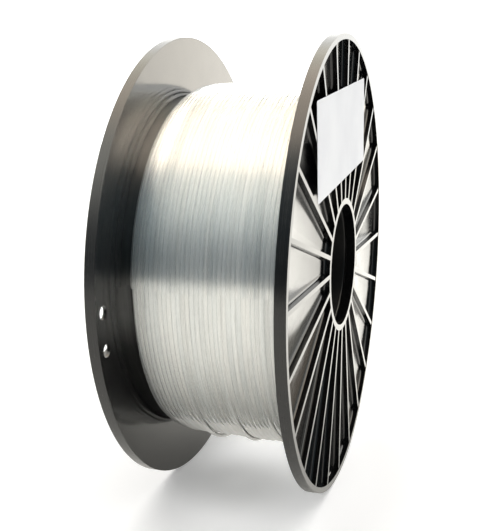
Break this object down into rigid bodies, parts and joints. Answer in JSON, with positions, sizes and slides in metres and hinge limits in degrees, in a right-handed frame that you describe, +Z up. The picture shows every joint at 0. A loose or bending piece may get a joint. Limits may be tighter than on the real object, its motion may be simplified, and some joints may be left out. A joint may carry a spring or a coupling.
{
  "type": "line spool",
  "caption": "Wide plastic spool with two ribbed round flanges and an open centre bore, wound with a thick layer of clear monofilament line and carrying a blank side label.",
  "frame": {"origin": "on the spool's axis, half way between its two rim faces", "axes": "+Y along the spool's axis away from the labelled flange, +Z up with the spool standing on its rims, +X to the right as seen from the labelled side"},
  "size_m": [0.2, 0.076, 0.2],
  "materials": {
    "flange_plastic": "glossy injection-moulded black plastic, smooth disc faces, faint turned streaks on the rim",
    "core_plastic": "satin black moulded plastic",
    "clear_line": "clear to milky extruded strand, glossy, wound in close turns",
    "label_paper": "blank white paper, matt"
  },
  "bodies": {
    "root": {"front_flange": "flange_plastic", "rear_flange": "flange_plastic", "core_drum": "core_plastic", "bore_sleeve": "core_plastic", "line_winding": "clear_line", "line_slack_turn_1": "clear_line", "line_slack_turn_2": "clear_line", "line_slack_turn_3": "clear_line", "line_start_tail": "clear_line", "line_free_end": "clear_line", "paper_label": "label_paper"}
  },
  "joints": []
}
